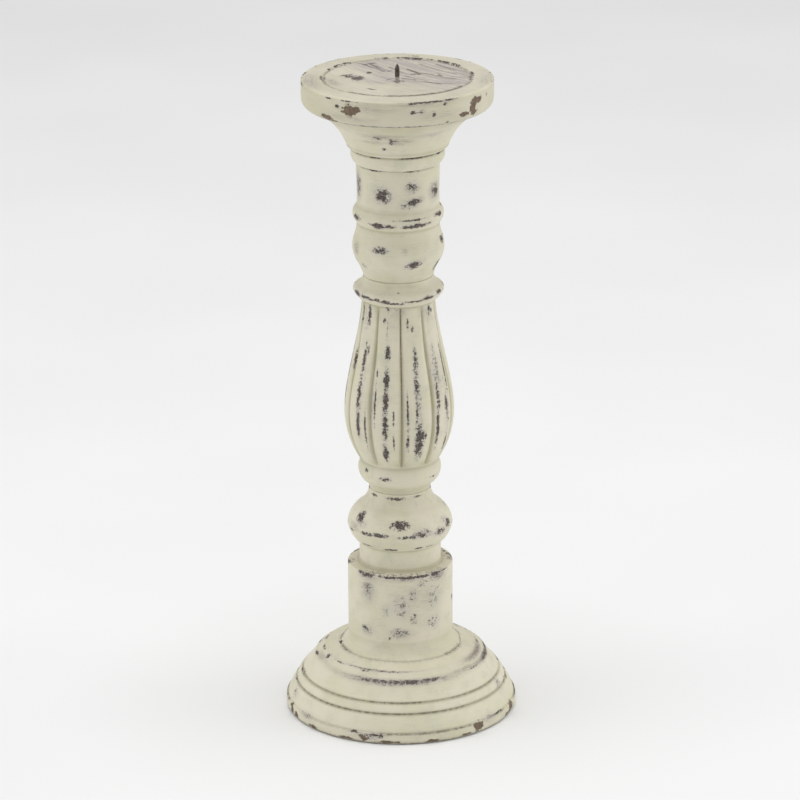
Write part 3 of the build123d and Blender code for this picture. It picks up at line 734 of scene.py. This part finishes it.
def vase(material):
    lathe = Lathe("fluted_vase", 0, 0.75, angles=rib_angles(38))
    floor = section("fluted_vase", FRONT + GROOVE_AT)
    outer = floor[floor[:, 0] > DOWEL_R + CLEAR]
    order = np.argsort(outer[:, 1])
    crest, heights = lathe.outline.T
    deep = np.clip(crest - np.interp(heights, outer[order, 1], outer[order, 0]), 0, None)
    ribbed = (smooth_step(heights, RIBS_LOW - 1.0, RIBS_LOW + 1.5)
              * (1 - smooth_step(heights, RIBS_HIGH - 0.7, RIBS_HIGH + 1.1)) * lathe.shown)
    deep = deep * ribbed
    foot = 1 - smooth_step(heights, RIBS_LOW + 2, RIBS_LOW + 22)
    turned = lathe.front - GROOVE_AT + PITCH / 2
    off = turned % PITCH - PITCH / 2
    wander = lathe.round_noise(2.2, 0.03, 47) - 0.5
    across = np.abs(off[None, :] * crest[:, None] + 0.5 * wander) / (1 + 0.6 * foot[:, None])
    rise = np.interp(across, [0, FLOOR_HALF, MOUTH_HALF, EDGE_HALF], [0, FLOOR_RISE, MOUTH_RISE, EDGE_RISE])
    cut = np.clip(deep[:, None] - rise, 0, None)
    lathe.radius -= cut
    # painted shade with olive glazing on the groove floors and sides, and painted shade at the ends of the
    # grooves, under the ring and above the bead
    close = np.exp(-(across / 0.8) ** 2) * ribbed[:, None]
    groove_glaze_and_shade = np.maximum(0.9 * close, smooth_step(cut, 0.1, 1.3))
    ends = np.exp(-((heights - RIBS_HIGH) / 5) ** 2) + np.exp(-((heights - RIBS_LOW) / 4) ** 2)
    end_shade = 0.9 * ends[:, None] * np.exp(-(across / 2.5) ** 2) * ribbed[:, None]
    lathe.layers["glaze_and_shade"] = np.maximum(groove_glaze_and_shade, end_shade)
    # a dark line on each groove's floor, stronger higher up: dirt and painted shade
    dirt_and_shade_by_groove = np.array(GROOVE_DIRT_AND_SHADE)[np.floor(turned / PITCH).astype(int) % RIBS]
    upper = 0.55 + 0.45 * smooth_step(heights, BELLY - 10, BELLY + 25)
    floor_dirt_and_shade = dirt_and_shade_by_groove[None, :] * upper[:, None] * np.exp(-(across / 0.33) ** 2) * ribbed[:, None]
    lathe.layers["stain_and_shade"] = np.maximum(lathe.layers["stain_and_shade"], floor_dirt_and_shade)
    rubbed_edges(lathe, 41)
    marks(lathe,
          ("wear", -20, BEAD - 1, 6, 2, 0.9), ("wear", -54, BEAD + 2, 3, 2, 0.85),
          ("wear", 55, BEAD - 2, 6, 1.2, 0.7), ("wear", -66, RING, 6, 3, 0.95),
          ("wear", -48, RING - 0.5, 8, 1.8, 0.95), ("wear", -35, RING - 1, 8, 1.4, 0.9),
          ("wear", -28, RING - 0.5, 3, 1.5, 1), ("wear", -18, RING - 1.5, 5, 2, 1),
          ("wear", -6, RING - 2, 12, 1.6, 1), ("wear", 3, RING - 2, 5, 1.6, 0.9),
          ("wear", 20, RING - 1, 12, 0.9, 0.9), ("wear", 40, RING - 0.5, 8, 1.8, 0.95),
          ("speckle", 42, RING, 10, 4, 0.6), ("wear", 62, RING + 1, 5, 2.5, 0.9),
          ("speckle", -55, RING, 14, 4, 0.5), ("wear", 0, RING + 3.5, 1.6, 1.4, 0.7))
    worn_ribs(lathe)
    hand_made(lathe, 45)
    return lathe.build("carved_vase", "fluted_vase", material)


def neck(material):
    lathe = Lathe("upper_column", 280, 0.5)
    rubbed_edges(lathe, 51)
    scattered(lathe, 52, 9)
    scattered(lathe, 54, 9, "speckle", (5.0, 10.0), 0.9)
    middle = (BAND + NECK_TOP) / 2
    low = BAND - 1.5
    marks(lathe,
          # plain neck: speckled patches
          ("speckle", -22, middle + 0.5, 11, 10, 1), ("wear", -22, middle, 8, 7, 0.68),
          ("speckle", 20, middle + 5, 9, 8, 0.95), ("wear", 24, middle + 5, 5, 3.5, 0.55),
          ("speckle", 20, middle - 4, 12, 6, 1, None, 0.8),
          ("wear", 22, middle - 3.5, 8, 4, 0.72, None, 0.8), ("smear", -72, middle + 3, 7, 14, 1),
          ("speckle", -70, middle + 3, 7, 13, 0.9), ("smear", 62, middle, 9, 8, 0.8),
          ("speckle", 62, middle + 1, 9, 9, 0.9), ("wear", 66, middle - 1, 5, 4, 0.7),
          # narrow band
          ("wear", -65, BAND, 7, 3, 0.9), ("wear", -32, BAND - 1, 6, 1.2, 0.8),
          ("wear", 16, BAND + 1.5, 16, 1, 0.95), ("wear", 62, BAND + 1.5, 7, 2.5, 0.95),
          ("wear", -26, low, 6.5, 3.5, 1), ("wear", -12, low, 6.5, 2.2, 1),
          ("wear", 24, low, 13, 2.4, 1), ("wear", 12, low - 0.5, 6, 1.2, 0.8),
          ("speckle", -18, low, 16, 3, 0.5), ("speckle", 20, low + 1, 18, 3, 0.4),
          ("wear", 44, low + 0.5, 4, 1.2, 0.7),
          # bulge
          ("wear", -24, BULGE + 3, 7.5, 3.2, 1), ("speckle", -24, BULGE + 3, 10, 4.5, 0.6),
          ("wear", 21, BULGE - 5, 8, 4, 1, None, 0.9),
          ("speckle", 22, BULGE - 4, 11, 6, 0.65, None, 0.9), ("smear", -66, BULGE + 1, 6, 6, 1),
          ("speckle", -54, BULGE - 8, 5, 5, 0.7), ("wear", 74, BULGE + 5, 5, 4, 0.9),
          ("wear", 66, BULGE - 9, 3, 7, 0.85), ("smear", 8, BULGE + 3, 3, 4, 0.6))
    marks(lathe,
          ("wear", 15, NECK_TOP - 0.6, 6, 1.2, 0.95), ("wear", -33, NECK_TOP - 0.6, 7, 1.2, 0.9))
    line_round(lathe, "stain_and_shade", NECK_TOP - 0.5, 0.95, 53, 0.5,
               near=[(-65, -42, 0.8), (-42, -25, 0.3), (12, 32, 0.95), (32, 60, 0.5)])
    hand_made(lathe, 55)
    return lathe.build("painted_neck", "upper_column", material)


def scratch(lathe, start, end, half, strength):
    """A straight scratch on the seat between two points: right of the centre, and behind it."""
    x = lathe.radius * np.sin(lathe.front)[None, :]
    y = -lathe.radius * np.cos(lathe.front)[None, :]
    (x0, y0), (x1, y1) = start, end
    t = np.clip(((x - x0) * (x1 - x0) + (y - y0) * (y1 - y0)) / ((x1 - x0) ** 2 + (y1 - y0) ** 2), 0, 1)
    far = np.hypot(x - x0 - t * (x1 - x0), y - y0 - t * (y1 - y0))
    on_seat = (lathe.outline[:, 1] > SEAT - HOLLOW - 0.1)[:, None]
    lathe.layers["stain_and_shade"] = np.maximum(lathe.layers["stain_and_shade"], strength * np.exp(-(far / half) ** 2) * on_seat)


def dish(material):
    lathe = Lathe("candle_dish", 420, 0.62,
                  shown=lambda r, z: r > DOWEL_R + CLEAR or z > SEAT - HOLLOW - 0.05)
    rubbed_edges(lathe, 61, 0.8)
    scattered(lathe, 62, 10)
    scattered(lathe, 68, 8, "speckle", (6.0, 14.0), 0.8)
    scattered(lathe, 63, 7, "chip", (3.0, 7.0), 0.95)
    side = (RIM_LOW + RIM_TOP) / 2
    cove = DISH_STEP + 14
    marks(lathe,
          # chips on the rim
          ("chip", -29, side + 1, 9, 5.5, 1), ("chip", -24, side + 2, 4, 2.5, 0.9),
          ("chip", -47, side - 5, 8, 3.5, 1), ("chip", -41, side - 6.5, 5, 2, 0.9),
          ("chip", 51, side - 1, 6, 6.5, 1), ("chip", 54, side + 2.5, 9, 4, 1),
          ("chip", 43, side - 3, 6.5, 2.6, 0.95), ("wear", -38, side + 2.5, 2.5, 2, 0.9),
          ("chip", 14, side + 1.5, 4, 1.8, 0.85), ("wear", 9, side + 1, 2.5, 1.8, 0.9),
          ("wear", 15, side + 2, 3, 1.6, 0.9), ("speckle", 12, side + 1.5, 12, 3.5, 0.6),
          ("wear", 22, side, 2.5, 3, 0.75), ("wear", 29, side + 4.5, 2, 1.6, 0.9),
          ("wear", 31, side - 5.5, 1.8, 1.6, 0.9), ("wear", 66, side + 3, 2, 2, 0.9),
          ("smear", -16, side + 3, 26, 5, 0.5), ("smear", -30, side - 3, 24, 3, 0.5),
          ("smear", 26, side - 1, 22, 5, 0.45),
          # top edge of the rim
          ("wear", 20, RIM_TOP - 0.6, 19, 1.2, 1), ("wear", 9, RIM_TOP - 0.8, 6, 1, 0.9),
          ("wear", 33, RIM_TOP - 0.5, 8, 1, 0.8), ("smear", 16, RIM_TOP - 1, 32, 4, 0.8),
          ("wear", -30, RIM_TOP - 1, 9, 0.8, 0.75), ("wear", -45, RIM_TOP - 1.2, 6, 0.8, 0.7),
          ("wear", -82, RIM_TOP - 1, 8, 1.2, 0.8), ("smear", -80, RIM_TOP, 26, 9, 0.7, RIM_R - 4),
          ("smear", 84, RIM_TOP, 24, 6, 0.6, RIM_R - 3),
          # lower edge of the rim, and the cove
          ("speckle", 0, RIM_LOW + 0.5, 90, 2.4, 0.8), ("smear", -12, cove, 22, 5, 0.9),
          ("smear", 2, cove - 3, 12, 5, 1), ("wear", -5, cove - 2.5, 4, 5, 0.62),
          ("wear", -18, cove - 0.5, 5, 3, 0.55), ("speckle", 28, cove, 16, 4, 0.45),
          ("smear", -22, cove - 4, 14, 3, 0.7), ("wear", -14, cove - 8, 2.5, 2, 0.7),
          ("smear", 30, cove + 1, 12, 4, 0.5),
          # seat
          ("wear", -102, SEAT, 9, 6.5, 1, 21.5), ("wear", -104, SEAT, 5, 8, 0.75, 26),
          ("wear", -36, SEAT, 5, 1.8, 1, 23), ("smear", -75, SEAT, 12, 5, 1, SEAT_RING_R - 4),
          ("smear", 100, SEAT, 14, 5, 0.8, SEAT_RING_R - 3),
          ("wear", 0, SEAT - HOLLOW, 3, 1.6, 0.95, 3),
          # line under the cove
          ("wear", -30, DISH_STEP, 8, 1.2, 0.9), ("wear", 20, DISH_STEP, 15, 1.2, 0.9),
          ("wear", 60, DISH_STEP, 4, 2, 0.9))
    # start and end of each scratch, in millimetres right of the axis and behind it, and its strength
    scratches = (
        ((5.5, 22), (11.5, 14.5), 1.4), ((9, 18), (12, 14), 1.6), ((12, 15), (19, 11), 0.8),
        ((2.5, 6), (9.5, 3), 1.2), ((14, -2), (23, -9), 1.6), ((9, 1), (14, -2), 0.9),
        ((21.5, 8.5), (23.5, 7), 1.6), ((21, 27), (31, 14), 0.9), ((12, 29), (31, 8), 0.7),
        ((15, 14), (30, -3), 0.7), ((-15, 30), (-8, 20), 1), ((-18, 28), (-12, 31), 1.3),
        ((4, 11), (16, 0), 0.6), ((-4, 26), (3, 16), 0.6), ((24, -9), (33, -12), 0.7),
        ((-30, 6), (-24, 11), 1.2))
    for start, end, strength in scratches:
        scratch(lathe, start, end, SCRATCH_HALF, strength)
    line_round(lathe, "stain_and_shade", DISH_STEP, 0.95, 64, 0.5,
               near=[(-62, -40, 0.9), (-40, -20, 0.4), (2, 50, 1.0), (55, 75, 0.8)])
    line_round(lathe, "stain_and_shade", RIM_LOW, 0.8, 69, 0.5, near=[(-60, 40, 0.8), (40, 80, 0.4)])
    # the seat's ring groove: a dark line all round, dirt and painted shade; on the viewer's side three wider
    # ones, painted shade of the groove's wall spread over the land and the seat
    line_round(lathe, "stain_and_shade", SEAT - 1.0, 0.9, 65, 0.36, radius=SEAT_RING_R, behind=0.8,
               near=[(-80, -60, 0.7), (-60, -20, 0.85), (-20, 80, 1.0)])
    line_round(lathe, "stain_and_shade", SEAT, 0.9, 75, 0.75, radius=SEAT_RING_R + 0.8, behind=0.0,
               near=[(-75, -20, 0.8), (50, 78, 0.7)])
    line_round(lathe, "stain_and_shade", SEAT, 1.8, 77, 1.5, radius=SEAT_RING_R - 0.8, behind=0.0,
               near=[(-42, -12, 0.7), (-12, 62, 1.0)])
    line_round(lathe, "stain_and_shade", SEAT, 2.4, 79, 1.5, radius=SEAT_RING_R - 1.6, behind=0.0,
               near=[(-10, 32, 1.0)])
    # painted shade: the cove under the rim, the rim's side and the top faces are darkened with the olive of
    # the creases
    shade_under_rim = np.exp(-((lathe.outline[:, 1] - RIM_LOW + 1) / 6) ** 2) * (lathe.outline[:, 0] < RIM_R - 2)
    rim_side_shade = 0.35 * (lathe.outline[:, 1] > RIM_LOW) * (lathe.outline[:, 0] > RIM_R - 2)
    top_face_shade = 0.35 * (lathe.outline[:, 1] > SEAT - HOLLOW - 0.1)
    dish_painted_shade = np.maximum(np.maximum(0.65 * shade_under_rim, rim_side_shade), top_face_shade) * lathe.shown
    lathe.layers["glaze_and_shade"] = np.maximum(lathe.layers["glaze_and_shade"], dish_painted_shade[:, None])
    on_top = (lathe.outline[:, 1] > SEAT - HOLLOW - 0.1) & (lathe.outline[:, 0] < RIM_R - 1.7)
    across, back = np.cos(lathe.azimuth) * lathe.outline[:, :1], np.sin(lathe.azimuth) * lathe.outline[:, :1]
    drift = 22 * (lathe.round_noise(1.5, 0.05, 66) - 0.5)
    far = smooth_step(back + 0.8 * across + drift, -24, 14)
    inside = (lathe.outline[:, 0] < SEAT_RING_R)[:, None]
    lathe.layers["thin"] = np.maximum(lathe.layers["thin"], on_top[:, None] * (0.45 + 0.55 * far * inside))
    lathe.layers["plank"] = on_top[:, None] * np.where(inside, 0.15 + 0.85 * far, 0.15)
    hand_made(lathe, 67, 0.4)
    return lathe.build("painted_dish", "candle_dish", material)


def spike(material):
    lathe = Lathe("pricket", 48, 0.25, shown=lambda r, z: z > SEAT - HOLLOW)
    up = np.broadcast_to(lathe.outline[:, 1:] - SEAT + HOLLOW, lathe.radius.shape)
    lathe.layers["thin"] = 1 - smooth_step(up, 0.6, 4.6)
    lathe.layers["stain_and_shade"] = 0.9 * (1 - smooth_step(up, 0.05, 0.25))
    lathe.sink(0.04 * lathe.round_noise(3.0, 0.8, 71))
    return lathe.build("steel_spike", "pricket", material)


def felt_disc(material):
    lathe = Lathe("felt_pad", 360, 0.7, shown=lambda r, z: r > 1.0 and z < 1.5)
    lathe.sink(0.16 * lathe.round_noise(60.0, 1.5, 81))
    return lathe.build("felt_disc", "felt_pad", material)


wood = painted_wood()
for make in (base, column, vase, neck, dish):
    make(wood)
spike(spike_steel())
felt_disc(felt())

dowel_wood = bare_wood()
zinc = metal("zinc_steel", srgb(150, 152, 158), srgb(192, 194, 198), 0.28, 0.45)
carried = {"zinc_steel": (zinc, ["base_screw", "screw_washer"]),
           "bare_wood": (dowel_wood, ["lower_dowel", "middle_dowel", "upper_dowel"])}
for slot, (material, nodes) in carried.items():
    for node in nodes:
        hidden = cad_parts[node]
        hidden.data.materials.clear()
        hidden.data.materials.append(material)


# ---------------------------------------------------------------- floor, light and camera

def floor():
    mesh = bpy.data.meshes.new("studio_floor")
    half = FLOOR_REACH
    corners = [(-half, -half, 0), (half, -half, 0), (half, half, 0), (-half, half, 0)]
    mesh.from_pydata(corners, [], [(0, 1, 2, 3)])
    mesh.materials.append(floor_paint())
    piece = bpy.data.objects.new("studio_floor", mesh)
    bpy.context.scene.collection.objects.link(piece)


def softbox(name, at, size, power):
    light = bpy.data.lights.new(name, "AREA")
    light.shape, light.size, light.energy = "DISK", size, power
    box = bpy.data.objects.new(name, light)
    box.location = at
    box.visible_camera = False
    box.rotation_euler = (AIM - Vector(at)).to_track_quat("-Z", "Y").to_euler()
    bpy.context.scene.collection.objects.link(box)


def camera():
    view = bpy.data.cameras.new("camera")
    view.lens, view.sensor_width = LENS, SENSOR
    view.clip_start, view.clip_end = 0.05, 60.0
    eye = bpy.data.objects.new("camera", view)
    turn = Matrix.Rotation(math.pi / 2 - LOOK_DOWN, 4, "X") @ Matrix.Rotation(ROLL, 4, "Z")
    eye.matrix_world = Matrix.Translation(EYE_AT) @ turn
    bpy.context.scene.collection.objects.link(eye)
    bpy.context.scene.camera = eye


def surround():
    """White light all round, brighter at the sides than in front and behind."""
    world = bpy.data.worlds.new("studio")
    world.use_nodes = True
    nodes, links = world.node_tree.nodes, world.node_tree.links
    parts = nodes.new("ShaderNodeSeparateXYZ")
    links.new(nodes.new("ShaderNodeTexCoord").outputs["Generated"], parts.inputs[0])
    square, gain = nodes.new("ShaderNodeMath"), nodes.new("ShaderNodeMath")
    square.operation, gain.operation = "POWER", "MULTIPLY_ADD"
    absolute = nodes.new("ShaderNodeMath")
    absolute.operation = "ABSOLUTE"
    links.new(parts.outputs["X"], absolute.inputs[0])
    links.new(absolute.outputs[0], square.inputs[0])
    square.inputs[1].default_value = 2.0
    links.new(square.outputs[0], gain.inputs[0])
    gain.inputs[1].default_value, gain.inputs[2].default_value = SIDE_GAIN, FRONT_LIGHT
    links.new(gain.outputs[0], nodes["Background"].inputs["Strength"])
    nodes["Background"].inputs["Color"].default_value = (1.0, 1.0, 1.0, 1.0)
    return world


floor()
# name, place, diameter and power
softbox("left_box", (-1.6, -0.2, 0.7), 1.2, 2.5)
softbox("right_box", (1.6, -0.2, 0.7), 1.2, 3.5)
softbox("top_box", (0.0, 0.0, 2.4), 1.6, 20.0)
world = surround()
bpy.context.scene.world = world
bpy.context.scene.view_settings.view_transform = "Standard"
camera()
